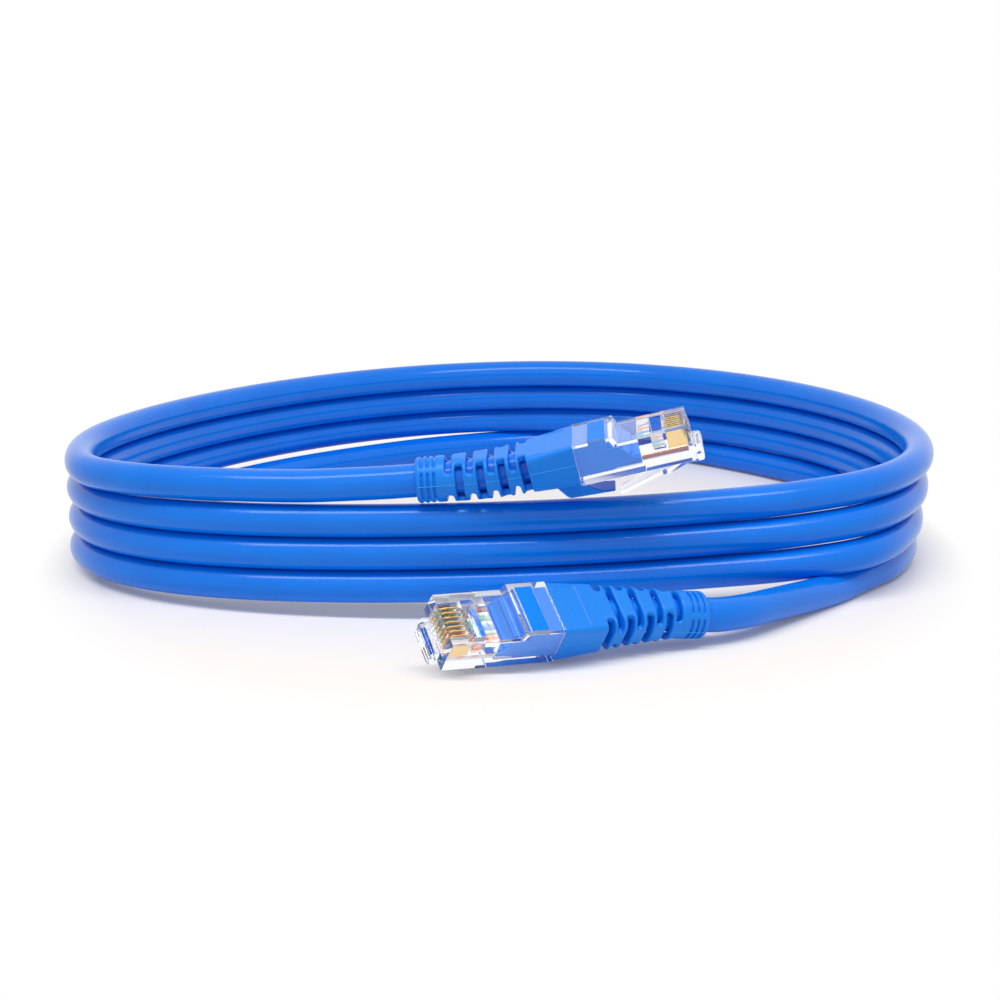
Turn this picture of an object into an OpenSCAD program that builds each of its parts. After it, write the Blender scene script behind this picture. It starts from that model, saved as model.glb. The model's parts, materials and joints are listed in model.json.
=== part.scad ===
// Ethernet patch cable: two 8P8C plugs with moulded snag guards on one round cord, wound into a stacked coil.
// Millimetres, +Z up. The origin lies on the table, under the middle of the two plugs.
// A plug's own frame: nose at x = 0 and cord towards -x, pin 1 towards +y, contacts up, underside at z = 0.

/* [Cord] */
// Diameter of the cord's jacket
cable_d = 6.2; // [5.4:0.1:6.4]
// Clear gap between turns that lie on each other
turn_gap = 0.43; // [0.42:0.01:1]
// Half of the coil's width, at the middle of the cord
coil_half_w = 88; // [80:1:110]
// Half of the coil's depth, at the middle of the cord
coil_half_l = 80.5; // [72:0.5:100]
// How far the coil's back is pushed sideways
coil_skew = 9; // [0:0.5:12]
// How much the coil's front is flattened and its back drawn out
coil_egg = 9.5; // [0:0.5:12]
// How far the back of each turn lies in front of the turn below
coil_lean = 2.5; // [0:0.1:4]

/* [Plug housing] */
// Width of the housing
plug_w = 11.68; // [11.4:0.01:11.8]
// Length of the housing
plug_l = 21.5; // [20.5:0.1:24]
// Height of the nose
nose_h = 6.6; // [6.3:0.05:6.8]
// Height of the raised rear block
block_h = 8; // [7.7:0.05:8.6]
// Distance from the nose to the foot of the raised block
block_at = 13.2; // [13:0.1:13.8]
// Length of the slope up to the raised block
block_slope = 0.7; // [0.3:0.1:1]
// Thickness of the side walls
side_t = 0.9; // [0.6:0.05:1.1]
// Thickness of the bottom wall
floor_t = 1.5; // [1.2:0.05:1.6]
// Thickness of the top walls
roof_t = 0.75; // [0.5:0.05:0.9]
// How far the top of the nose leans back from its foot
nose_lean = 0.4; // [0.2:0.1:1.2]
// Height at which the nose starts to lean back
lean_z = 3.4; // [2.8:0.1:4]
// Front of the crosswise trough behind the contacts
trough_at = 4.9; // [4.8:0.1:5.4]
// Length of the trough
trough_l = 2.3; // [1.2:0.1:2.8]
// Front of the inner moulding
insert_at = 9.6; // [9.2:0.1:10]
// Distance from the nose to the window in the raised block
window_at = 15.3; // [15:0.1:15.8]
// Length of the window
window_l = 3.3; // [3:0.1:3.6]
// Clearance round the inner moulding and the contacts
seat_gap = 0.03; // [0.02:0.01:0.05]

/* [Contacts and wires] */
// Spacing of the contacts
pin_pitch = 1.02; // [1:0.01:1.04]
// Thickness of a contact blade
blade_t = 0.35; // [0.25:0.01:0.4]
// Length of the bright top edge of a blade
blade_l = 2.9; // [2.4:0.1:3]
// Distance from the nose to the front of that edge
blade_at = 1.4; // [1.3:0.05:1.5]
// Height of the blades' top edge
blade_z = 6.05; // [5.8:0.05:6.15]
// Diameter of an insulated wire
wire_d = 0.95; // [0.85:0.01:0.97]
// Height of the wires' middle
wire_z = 2.3; // [2.2:0.05:2.4]
// Distance from the nose to the wires' cut ends
wire_at = 0.9; // [0.7:0.05:1.1]

/* [Latch] */
// Width of the latch at its root
latch_w = 6.2; // [5.8:0.1:6.5]
// Width of the latch's tail
tail_w = 3.2; // [2.8:0.1:3.6]
// Thickness of the lever
latch_t = 1.2; // [0.9:0.05:1.25]
// Distance from the nose to the shoulders
shoulder_at = 5.8; // [5.2:0.1:6.2]
// Distance from the nose to the tail's end
tail_at = 15.3; // [14.5:0.1:15.4]
// Angle at which the lever stands off the underside, up to the shoulders
latch_angle = 12.8; // [12.6:0.1:14]
// Angle at which the tail stands off the underside
tail_angle = 17; // [15:0.5:18]
// Radius of the round at the lever's root
knuckle_r = 0.6; // [0.5:0.05:0.65]
// How far the root stands in front of the nose
root_l = 1.7; // [1.6:0.05:1.8]
// Running clearance round the knuckle
knuckle_gap = 0.05; // [0.04:0.01:0.08]

/* [Boot] */
// Length of the solid body behind the housing
body_l = 9; // [8:0.1:11]
// Width of the body at its rear
body_w = 10.9; // [10.4:0.1:11.4]
// Height of the body at its rear
body_h = 7.2; // [6.8:0.1:8]
// Height of the cord's axis above the underside
axis_z = 4; // [3.9:0.05:4.1]
// Spacing of the slots that open the same way
slot_pitch = 4.15; // [3.8:0.05:4.6]
// Width of the slots cut from the two sides
side_slot = 1.45; // [1.1:0.05:1.6]
// Width of the slots cut from top and bottom
top_slot = 1.3; // [1:0.05:1.5]
// Web left at the ends of each slot
slot_web = 1.25; // [1:0.05:1.4]
// Outer diameter of the collar
collar_d = 8.7; // [8.5:0.1:9.4]
// Length of the collar
collar_l = 5.65; // [5:0.05:7]
// Width of the collar's grooves
groove_w = 0.4; // [0.3:0.05:0.5]
// Depth of the collar's grooves
groove_d = 0.35; // [0.2:0.05:0.5]
// Spacing of the collar's grooves
groove_pitch = 1.15; // [1:0.05:1.3]
// Gap between the cord's jacket and the boot's bore
bore_gap = 0.05; // [0.03:0.01:0.1]
// Width of the snag guard under the latch's tail
guard_w = 5.2; // [4.8:0.1:6]
// Depth of the snag guard's lip below the underside
guard_h = 3.8; // [3.2:0.1:4.2]
// How much higher than the lip the guard's heel stands
guard_rise = 0.5; // [0:0.1:0.8]
// Distance from the nose to the guard's lip
guard_at = 15.9; // [15.8:0.1:16.5]
// Length of the guard's heel behind the housing
guard_heel = 3.2; // [2.4:0.1:3.6]

/* [Lie of the plugs] */
// Heading of the table plug, turned about the vertical
plug_a_turn = 205.5; // [195:0.5:220]
// Upward slope of the table plug, from its cord to its nose
plug_a_slope = 2.5; // [0:0.5:4]
// Roll of the table plug towards the front
plug_a_roll = -36; // [-42:0.5:-30]
// How far the table presses the table plug's latch in
plug_a_press = 2.5; // [2:0.1:3.5]
// Flex of the table plug's boot
plug_a_flex = 5.5; // [2:0.5:16]
// Heading of the upper plug
plug_b_turn = -4.5; // [-12:0.5:4]
// Upward slope of the upper plug
plug_b_slope = 14; // [10:0.5:16]
// Roll of the upper plug towards the front
plug_b_roll = 10.5; // [4:0.5:16]
// Flex of the upper plug's boot
plug_b_flex = 9.5; // [6:0.5:18]

/* [Hidden] */
SIDES = ["a", "b"];
PINS = 8;
WIRE_COLOURS = ["bisque", "darkorange", "honeydew", "royalblue", "lightsteelblue", "seagreen", "wheat", "saddlebrown"];
BLUE = "dodgerblue";
$fn = 48;
far = 40;
eps = 0.01;

// Middle of the two plugs' footprint, where the origin is put.
mid_x = 11;
mid_y = -87.4;

// Where the nose of each plug stands, before the shift to the origin.
plug_a_xy = [-12, -104.8];
plug_b_xy = [36.1, -69.9];

// Plug housing.
cavity_w = plug_w - 2 * side_t;
nose_roof = nose_h - roof_t;
block_roof = block_h - roof_t;
cavity_slope_at = block_at + block_slope + 0.1;
row_w = (PINS - 1) * pin_pitch;
channel_h = wire_d + 0.1;
channel_w = row_w + channel_h + 0.1;
channel_top = wire_z + channel_h / 2;
well_w = blade_t + 2 * seat_gap;
well_front_z = lean_z - 0.4;
blade_front = 0.75;
blade_foot = wire_z + wire_d / 2 + seat_gap;
blade_round = 0.45;
blade_back = blade_at + blade_l;
tooth_w = 0.7;
tooth_h = 0.6;
TEETH = [blade_front + 0.3 + tooth_w / 2, blade_back - 0.3 - tooth_w / 2];

// Latch.
hinge_x = root_l - knuckle_r - 0.3;
latch_reach = tail_at + hinge_x;
shoulder_reach = shoulder_at + hinge_x;
shoulder_z = -shoulder_reach * tan(latch_angle);
tail_z = shoulder_z - (tail_at - shoulder_at) * tan(tail_angle);
tail_t = 0.8;
latch_tip_z = tail_z - tail_t;
cheek_t = 0.35;
root_w = latch_w + 2 * (knuckle_gap + cheek_t);
root_h = 2.2;
root_lip = 0.3;
root_round = 0.8;
chin_gap = 0.15;
chin_z = 1.3;

// Boot.
flex_at = plug_l + body_l;
half_pitch = slot_pitch / 2;
flex_l = 3 * slot_pitch + half_pitch + top_slot;
SLOTS = 4;
boot_l = flex_at + flex_l + collar_l;
bore_r = cable_d / 2 + bore_gap;
jacket_at = plug_l + 1;
guard_r = 3.8;
lip_t = 0.35;
guard_cut_z = guard_r - guard_h + lip_t;
guard_slope = 2.6;
panel_at = plug_l + 1.7;
panel_l = 3.8;
panel_w = 9.2;
panel_h = 0.2;
body_slope = atan((block_h - axis_z - body_h / 2) / body_l);

// Coil: one climbing loop, counted in turns from the back.
RINGS = 24;
COIL_RINGS = 79;
coil_x = 1;
coil_y = 4;
lie_z = 0.4 * cable_d;
pitch = cable_d + turn_gap;
climb = 1.2;

function coil_at(u) = [
    coil_x - coil_half_w * sin(360 * u) + coil_skew * cos(360 * u),
    coil_y + coil_half_l * cos(360 * u) + coil_egg * cos(720 * u) - coil_lean * (u - 1.5) * (1 + cos(360 * u)) / 2,
    lie_z + pitch * (u - climb * sin(360 * u) / (2 * PI))
];
function coil_dir(u) = unit(coil_at(u + 0.001) - coil_at(u - 0.001));
coil_end = COIL_RINGS / RINGS;
stub = cable_d;
coil_points = concat(
    [coil_at(0) - stub * coil_dir(0)],
    [for (i = [0:COIL_RINGS]) coil_at(i / RINGS)],
    [coil_at(coil_end) + stub * coil_dir(coil_end)]
);

// Lie of the plugs. The table plug rests on its lowest corner, the upper one with its collar on the coil's front.
ROLL = [plug_a_roll, plug_b_roll];
SLOPE = [-plug_a_slope, -plug_b_slope];
TURN = [plug_a_turn, plug_b_turn];
PRESS = [plug_a_press, 0];
FLEX = [plug_a_flex, plug_b_flex];
FLEX_DIR = [-90, 0];
rest_gap = 0.2;
rest_turn = 2.49;
feet = [
    [0, plug_w / 2, 0],
    [-plug_l, plug_w / 2, 0],
    [
        hinge_x - latch_reach * cos(plug_a_press) + latch_tip_z * sin(plug_a_press),
        tail_w / 2,
        latch_reach * sin(plug_a_press) + latch_tip_z * cos(plug_a_press)
    ],
    [-guard_at - lip_t, guard_w / 2, -guard_h],
    [-plug_l - guard_heel, guard_w / 2, guard_rise - guard_h]
];
plug_a_z = -min([for (p = feet) turned(p, 0)[2]]);
collar_rest_z = coil_at(rest_turn)[2] + cable_d / 2;
plug_b_z = collar_rest_z + rest_gap + collar_d / 2 - turned(on_boot(1, boot_l, [0, 0]), 1)[2];
PLUG_AT = [[plug_a_xy[0], plug_a_xy[1], plug_a_z], [plug_b_xy[0], plug_b_xy[1], plug_b_z]];

// A point of a plug, turned as the plug lies.
function turned(p, i) =
    let (
        a = [p[0], p[1] * cos(ROLL[i]) - p[2] * sin(ROLL[i]), p[1] * sin(ROLL[i]) + p[2] * cos(ROLL[i])],
        b = [a[0] * cos(SLOPE[i]) + a[2] * sin(SLOPE[i]), a[1], -a[0] * sin(SLOPE[i]) + a[2] * cos(SLOPE[i])]
    )
    [b[0] * cos(TURN[i]) - b[1] * sin(TURN[i]), b[0] * sin(TURN[i]) + b[1] * cos(TURN[i]), b[2]];

// Flexed axis of a boot: distance behind the nose gives the angle, the way along and the way aside.
function flex_angle(i, s) = FLEX[i] * min(max((s - flex_at) / flex_l, 0), 1);
function flex_radius(i) = flex_l / (FLEX[i] * PI / 180);
function flex_x(i, s) =
    -min(s, flex_at) - flex_radius(i) * sin(flex_angle(i, s)) - max(s - flex_at - flex_l, 0) * cos(FLEX[i]);
function flex_off(i, s) =
    flex_radius(i) * (1 - cos(flex_angle(i, s))) + max(s - flex_at - flex_l, 0) * sin(FLEX[i]);

// A point of the boot's section at distance s, given across and up from the cord's axis, in the plug's frame.
function on_boot(i, s, q) =
    let (
        a = FLEX_DIR[i],
        v = q[0] * cos(a) + q[1] * sin(a),
        w = -q[0] * sin(a) + q[1] * cos(a),
        x = flex_x(i, s) + w * sin(flex_angle(i, s)),
        z = flex_off(i, s) + w * cos(flex_angle(i, s))
    )
    [x, v * cos(a) - z * sin(a), axis_z + v * sin(a) + z * cos(a)];
function boot_end(i) = PLUG_AT[i] + turned(on_boot(i, boot_l, [0, 0]), i);
function boot_dir(i) = unit(turned(on_boot(i, boot_l, [0, 0]) - on_boot(i, boot_l - 1, [0, 0]), i));

function unit(v) = v / norm(v);

// Route of the cord from the table plug to the coil's first turn, and from its last turn to the upper plug.
lead_a_route = concat(
    [boot_end(0), boot_end(0) + stub / 2 * boot_dir(0)],
    [
        [45, -80.2, 4.8],
        [50.1, -74.4, 4.3],
        [55, -68.4, 3.7],
        [60.1, -62, 3.1],
        [65.4, -55.2, 2.6],
        [71.4, -47.8, lie_z],
        [79.5, -38.5, lie_z],
        [86.5, -26, lie_z],
        [90.5, -12, lie_z],
        [91.5, 3, lie_z],
        [89.5, 18, lie_z],
        [84.5, 34, lie_z],
        [77.5, 49.5, lie_z],
        [68.5, 63.5, lie_z],
        [58, 76, lie_z],
        [47, 86.5, lie_z],
        [35, 94, lie_z]
    ],
    [coil_at(0) - 2 * stub * coil_dir(0), coil_at(0) - stub * coil_dir(0)]
);
lead_b_route = concat(
    [coil_at(coil_end) + stub * coil_dir(coil_end), coil_at(coil_end) + 2 * stub * coil_dir(coil_end)],
    [
        [-79.5, -46, 23.6],
        [-71.5, -52.5, 23.9],
        [-61, -57.6, 24.2],
        [-49, -61.8, 24.6],
        [-37, -64.6, 25],
        [-28, -65.9, 25.6]
    ],
    [boot_end(1) + stub * boot_dir(1), boot_end(1)]
);

function ring_dir(p, k) =
    k == 0 ? unit(p[1] - p[0]) :
    k == len(p) - 1 ? unit(p[k] - p[k - 1]) :
    unit(unit(p[k + 1] - p[k]) + unit(p[k] - p[k - 1]));

// Length of a route, and the clear gap between two stretches of cord.
function route_length(p) = [for (k = [1:len(p) - 1]) norm(p[k] - p[k - 1])] * [for (k = [1:len(p) - 1]) 1];
function gap_to(point, stretch) = min([for (q = stretch) norm(point - q)]) - cable_d;
FINE = 4 * RINGS;
function coil_stretch(from_u, to_u) = [for (i = [0:FINE * (to_u - from_u)]) coil_at(from_u + i / FINE)];
whole_coil = coil_stretch(0, coil_end);
coil_gap = min([for (u = [0:1 / FINE:coil_end - 0.5]) gap_to(coil_at(u), coil_stretch(u + 0.5, coil_end))]);
lead_a_gap = min([for (p = lead_a_route) gap_to(p, coil_stretch(0.5, coil_end))]);
lead_b_gap = min([for (p = lead_b_route) gap_to(p, coil_stretch(0, coil_end - 0.5))]);
echo(coil_gap = coil_gap, lead_a_gap = lead_a_gap, lead_b_gap = lead_b_gap);
echo(cord_length = route_length(lead_a_route) + route_length(whole_coil) + route_length(lead_b_route) + 2 * stub);

// Solid tube along a list of points, its sides made of triangles.
module tube(p, r, sides) {
    rings = [
        for (k = [0:len(p) - 1])
            let (d = ring_dir(p, k), s = unit(cross(d, [0, 0, 1])), u = cross(s, d))
            for (j = [0:sides - 1])
                p[k] + r * (sin(360 * j / sides) * s + cos(360 * j / sides) * u)
    ];
    skin(rings, len(p), sides);
}

// Closed skin over rings of points that all have the same count.
module skin(points, rings, sides) {
    last = (rings - 1) * sides;
    polyhedron(
        points = points,
        faces = concat(
            [for (k = [0:rings - 2]) for (j = [0:sides - 1]) [k * sides + j, (k + 1) * sides + j, k * sides + (j + 1) % sides]],
            [for (k = [0:rings - 2]) for (j = [0:sides - 1]) [(k + 1) * sides + j, (k + 1) * sides + (j + 1) % sides, k * sides + (j + 1) % sides]],
            [for (j = [1:sides - 2]) [0, j, j + 1]],
            [for (j = [1:sides - 2]) [last, last + j + 1, last + j]]
        )
    );
}

// What lies on the table is cut level with it.
module on_table() {
    difference() {
        children();
        translate([-4 * far, -4 * far, -far]) cube([8 * far, 8 * far, far]);
    }
}

module to_origin() {
    translate([-mid_x, -mid_y, 0]) children();
}

module plug(i) {
    to_origin() translate(PLUG_AT[i]) rotate([ROLL[i], SLOPE[i], TURN[i]]) children();
}

// Solid with a given side view, of a given width about the middle.
module side_view(width, points) {
    rotate([90, 0, 0]) linear_extrude(width, center = true) polygon(points);
}

// Box from one corner to the other.
module block(from, to) {
    translate(from) cube(to - from);
}

// What follows the boot's flexed axis, given about x = 0 at distance s.
module at_boot(i, s) {
    translate([0, 0, axis_z]) rotate([FLEX_DIR[i], 0, 0])
        translate([flex_x(i, s), 0, flex_off(i, s)]) rotate([0, flex_angle(i, s), 0])
            rotate([-FLEX_DIR[i], 0, 0]) children();
}

// Round bar along the cord's axis: radius end_r where it is straight, and r along the flexed stretch.
module cord_bar(i, r, end_r, from_s, to_s) {
    turn_r = flex_radius(i);
    lap = 0.5;
    translate([-flex_at - lap, 0, axis_z]) rotate([0, 90, 0]) cylinder(h = flex_at + lap - from_s, r = end_r);
    translate([-flex_at, 0, axis_z]) rotate([FLEX_DIR[i], 0, 0]) translate([0, 0, turn_r])
        rotate([90, 0, 0]) rotate([0, 0, 270 - FLEX[i]]) rotate_extrude(angle = FLEX[i]) translate([turn_r, 0]) circle(r);
    at_boot(i, flex_at + flex_l) translate([lap, 0, 0]) rotate([0, -90, 0])
        cylinder(h = to_s + lap - flex_at - flex_l, r = end_r);
}

module cable_lead_a() {
    color(BLUE) to_origin() on_table() tube(lead_a_route, cable_d / 2, 8);
}

module cable_coil() {
    color(BLUE) to_origin() on_table() tube(coil_points, cable_d / 2, 6);
}

module cable_lead_b() {
    color(BLUE) to_origin() tube(lead_b_route, cable_d / 2, 8);
}

// Clear housing: nose with eight wells, trough, wire channel, rear cavity with its window, and the latch's root.
module housing(i) {
    color("aliceblue", 0.45) plug(i) difference() {
        union() {
            side_view(plug_w, [
                [0, 0], [0, lean_z], [-nose_lean, nose_h], [-block_at, nose_h],
                [-block_at - block_slope, block_h], [-plug_l, block_h], [-plug_l, 0]
            ]);
            side_view(root_w, concat(
                [[-eps, 0], [-eps, root_h]],
                [for (a = [90:-15:0]) [root_l - root_round, root_h - root_round] + root_round * [cos(a), sin(a)]],
                [[root_l, -root_lip], [hinge_x, -root_lip], [hinge_x, 0]]
            ));
        }
        side_view(cavity_w, [
            [-far, floor_t], [-insert_at + seat_gap, floor_t], [-insert_at + seat_gap, nose_roof],
            [-cavity_slope_at, nose_roof], [-cavity_slope_at - block_slope, block_roof], [-far, block_roof]
        ]);
        block([-window_at - window_l, -cavity_w / 2, nose_roof], [-window_at, cavity_w / 2, far]);
        block([-insert_at, -channel_w / 2, wire_z - channel_h / 2], [-wire_at + 0.1, channel_w / 2, channel_top]);
        block([-trough_at - trough_l, -channel_w / 2, channel_top + roof_t], [-trough_at, channel_w / 2, far]);
        for (k = [0:PINS - 1]) translate([0, row_w / 2 - k * pin_pitch, 0]) {
            block([-blade_at - blade_l - seat_gap, -well_w / 2, wire_z], [-blade_front + 0.3, well_w / 2, far]);
            block([-blade_at, -well_w / 2, well_front_z], [far, well_w / 2, far]);
        }
        translate([hinge_x, 0, 0]) rotate([90, 0, 0])
            cylinder(h = latch_w + 2 * knuckle_gap, r = knuckle_r + knuckle_gap, center = true);
        block([-eps, -latch_w / 2 - knuckle_gap, -1], [hinge_x, latch_w / 2 + knuckle_gap, 0]);
    }
}

// Latch: a lever with shoulders and a narrow tail, on a round root with a chin that turns in the housing's seat.
module latch(i) {
    chin_x = root_l - hinge_x - 0.1;
    color("aliceblue", 0.45) plug(i) translate([hinge_x, 0, 0]) rotate([0, PRESS[i], 0]) {
        rotate([90, 0, 0]) cylinder(h = latch_w, r = knuckle_r, center = true);
        intersection() {
            side_view(latch_w, concat(
                [[0, -root_lip - chin_gap], [0, -knuckle_r / 3], [-0.7, -0.7 * tan(latch_angle)]],
                [[-shoulder_reach, shoulder_z], [-latch_reach, tail_z], [-latch_reach, latch_tip_z]],
                [[-shoulder_reach, shoulder_z - latch_t], [-2.6, -chin_z]],
                [for (a = [270:15:360]) [chin_x - 0.5, 0.5 - chin_z] + 0.5 * [cos(a), sin(a)]],
                [[chin_x, -root_lip - chin_gap]]
            ));
            translate([0, 0, -far / 2]) linear_extrude(far) polygon([
                [chin_x, latch_w / 2], [-shoulder_reach, latch_w / 2], [-shoulder_reach - 0.9, tail_w / 2],
                [-latch_reach + 0.8, tail_w / 2], [-latch_reach, tail_w / 2 - 0.5],
                [-latch_reach, 0.5 - tail_w / 2], [-latch_reach + 0.8, -tail_w / 2],
                [-shoulder_reach - 0.9, -tail_w / 2], [-shoulder_reach, -latch_w / 2], [chin_x, -latch_w / 2]
            ]);
        }
    }
}

// Inner moulding: steps under the nose's roof, a block that fills the window, and wings along the side walls.
module insert(i) {
    inner_w = cavity_w - 2 * seat_gap;
    wing_t = 0.6;
    low = floor_t + seat_gap;
    wing_z = low + 1.4;
    wing_lift = 0.9;
    wing_top = nose_roof - 0.2;
    wing_at = insert_at + 0.8;
    wing_l = 3.2;
    step_z = channel_top + 0.45;
    nose_top = nose_roof - 0.05;
    block_top = block_roof - 0.05;
    color(BLUE) plug(i) difference() {
        union() {
            side_view(inner_w - 2 * wing_t, [
                [-plug_l, low], [-insert_at, low], [-insert_at, step_z], [-insert_at - 1.6, step_z],
                [-insert_at - 1.6, step_z + 0.8], [-insert_at - 3, step_z + 0.8], [-insert_at - 3, nose_top],
                [-cavity_slope_at - block_slope, nose_top], [-cavity_slope_at - block_slope, nose_top + 0.8],
                [-window_at - seat_gap, nose_top + 0.8], [-window_at - seat_gap, block_h - 0.03],
                [-window_at - window_l + seat_gap, block_h - 0.03], [-window_at - window_l + seat_gap, block_top],
                [-plug_l, block_top]
            ]);
            block(
                [-window_at - window_l + seat_gap, -inner_w / 2, nose_top],
                [-window_at - seat_gap, inner_w / 2, block_h - 0.03]
            );
            side_view(inner_w, concat(
                [[-plug_l, low], [-window_at, low], [-wing_at, low + wing_lift]],
                [[-insert_at, low + wing_lift], [-insert_at, wing_z]],
                [for (t = [0:0.125:1]) [-wing_at - wing_l * t, wing_z + (wing_top - wing_z) * (1 - cos(180 * t)) / 2]],
                [[-window_at, wing_top], [-window_at, block_top], [-plug_l, block_top]]
            ));
        }
        block([-insert_at - 2, -channel_w / 2, 0], [0, channel_w / 2, channel_top]);
    }
}

// Sections of the boot: distance, width, height and corner radius.
boot_sections = concat(
    [[plug_l, plug_w, block_h, 0.6], [flex_at - 0.6, body_w + 0.05, body_h + 0.05, 1.2]],
    [for (t = [0:0.125:1]) [
        flex_at + flex_l * t,
        body_w + (collar_d - body_w) * t,
        body_h + (collar_d - body_h) * t,
        1.3 + (collar_d / 2 - 1.3) * t
    ]],
    [[boot_l - 0.5, collar_d, collar_d, collar_d / 2], [boot_l, collar_d - 0.8, collar_d - 0.8, collar_d / 2 - 0.4]]
);
CORNER = 8;
function section(w, h, r) = [
    for (c = [0:3]) for (k = [0:CORNER - 1])
        let (a = 90 * (c + (k + 0.5) / CORNER))
        [
            (c == 0 || c == 3 ? 1 : -1) * (w / 2 - r) + r * cos(a),
            (c < 2 ? 1 : -1) * (h / 2 - r) + r * sin(a)
        ]
];

// Boot: body with a sunk panel, cross-cut strain relief, grooved collar and snag guard, bored for the cord.
module boot(i) {
    color(BLUE) plug(i) difference() {
        union() {
            skin(
                [for (s = boot_sections) for (q = section(s[1], s[2], s[3])) on_boot(i, s[0], [-q[0], q[1]])],
                len(boot_sections), 4 * CORNER
            );
            difference() {
                side_view(guard_w, [
                    [-guard_at, lip_t - guard_h], [-guard_at - lip_t, -guard_h],
                    [-plug_l - guard_heel, guard_rise - guard_h],
                    [-plug_l - guard_heel - guard_slope, 0.5], [-plug_l - guard_heel, 1],
                    [-plug_l - eps, 1], [-plug_l - eps, -seat_gap], [-guard_at, -seat_gap]
                ]);
                translate([-guard_at, 0, guard_cut_z]) rotate([90, 0, 0]) cylinder(h = far, r = guard_r, center = true);
            }
        }
        cord_bar(i, bore_r, bore_r + bore_gap, jacket_at - seat_gap, boot_l + 1);
        for (k = [0:SLOTS - 1]) {
            s = flex_at + k * slot_pitch;
            t = s + half_pitch;
            at_boot(i, s + side_slot / 2) cube([side_slot, far, slot_height(s) - 2 * slot_web], center = true);
            at_boot(i, t + top_slot / 2) cube([top_slot, slot_width(t) - 2 * slot_web, far], center = true);
        }
        for (k = [0:2]) at_boot(i, boot_l - 1.3 - k * groove_pitch) rotate([0, 90, 0]) groove();
        translate([-plug_l, 0, block_h]) rotate([0, -body_slope, 0])
            block([-panel_at + plug_l - panel_l, -panel_w / 2, -panel_h], [-panel_at + plug_l, panel_w / 2, far]);
    }
}

function slot_height(s) = body_h + (collar_d - body_h) * (s - flex_at) / flex_l;
function slot_width(s) = body_w + (collar_d - body_w) * (s - flex_at) / flex_l;

// Groove round the collar, broken by a plain band at each corner.
module groove() {
    band = 1.3;
    difference() {
        cylinder(h = groove_w, r = collar_d, center = true);
        cylinder(h = 2 * groove_w, r = collar_d / 2 - groove_d, center = true);
        for (a = [45, 135]) rotate([0, 0, a]) cube([4 * collar_d, band, 2 * groove_w], center = true);
    }
}

// The stretch of jacket that the boot grips.
module jacket_end(i) {
    color(BLUE) plug(i) cord_bar(i, cable_d / 2, cable_d / 2 - bore_gap, jacket_at, boot_l);
}

// Contact blade: a bright top edge, a leaning front with a round corner, and two teeth that bite the wire.
module contact(i, k) {
    round_c = [-blade_at - blade_round, blade_z - blade_round];
    color("gold") plug(i) translate([0, row_w / 2 - (k - 1) * pin_pitch, 0]) side_view(blade_t, concat(
        [[-blade_back, blade_z]],
        [for (a = [90:-15:15]) round_c + blade_round * [cos(a), sin(a)]],
        [
            [-blade_front, well_front_z + 0.2],
            [-blade_front, blade_foot]
        ],
        [
            for (x = TEETH) each
                [[-x + tooth_w / 2, blade_foot], [-x, blade_foot - tooth_h], [-x - tooth_w / 2, blade_foot]]
        ],
        [[-blade_back, blade_foot]]
    ));
}

// Insulated wire, from its cut end in the nose back into the inner moulding, bitten by the blade's two teeth.
module wire(i, k) {
    bite_h = tooth_h + 2 * seat_gap;
    bite_w = tooth_w * bite_h / tooth_h;
    color(WIRE_COLOURS[k - 1]) plug(i) translate([0, row_w / 2 - (k - 1) * pin_pitch, 0]) difference() {
        translate([-wire_at, 0, wire_z]) rotate([0, -90, 0])
            cylinder(h = insert_at + 1.9 - wire_at, d = wire_d, $fn = 24);
        for (x = TEETH) side_view(well_w, [
            [-x - bite_w / 2, blade_foot], [-x, blade_foot - bite_h], [-x + bite_w / 2, blade_foot]
        ]);
    }
}

cable_lead_a();
cable_coil();
cable_lead_b();
for (i = [0:1]) {
    housing(i);
    latch(i);
    insert(i);
    boot(i);
    jacket_end(i);
    for (k = [1:PINS]) {
        contact(i, k);
        wire(i, k);
    }
}
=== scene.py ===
"""Looks of the ethernet patch cable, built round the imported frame.

Pieces of a plug are made in the plug's own frame, in millimetres: nose at x = 0, cord towards -x,
pin 1 towards +y, contacts up. The frame's joints and mounts say where each plug lies.
"""
import json
from itertools import product
from math import cos, exp, pi, radians, sin

import bmesh
import bpy
import numpy as np
from mathutils import Matrix, Vector


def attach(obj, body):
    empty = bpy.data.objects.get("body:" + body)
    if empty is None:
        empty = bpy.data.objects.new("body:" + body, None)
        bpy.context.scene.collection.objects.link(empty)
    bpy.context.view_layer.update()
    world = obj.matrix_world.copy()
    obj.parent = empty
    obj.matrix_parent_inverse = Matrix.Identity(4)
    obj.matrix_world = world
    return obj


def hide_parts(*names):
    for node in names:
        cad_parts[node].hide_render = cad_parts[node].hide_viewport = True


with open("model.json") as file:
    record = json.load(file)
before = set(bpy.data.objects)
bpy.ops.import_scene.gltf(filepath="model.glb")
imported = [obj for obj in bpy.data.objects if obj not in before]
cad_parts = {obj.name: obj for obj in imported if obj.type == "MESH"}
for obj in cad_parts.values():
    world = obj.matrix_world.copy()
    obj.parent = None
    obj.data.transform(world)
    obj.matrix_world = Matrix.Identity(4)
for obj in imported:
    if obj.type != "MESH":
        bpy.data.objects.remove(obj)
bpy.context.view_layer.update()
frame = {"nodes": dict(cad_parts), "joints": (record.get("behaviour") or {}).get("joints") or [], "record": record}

MM = 0.001
SIDES = ["a", "b"]
PINS = 8

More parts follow.
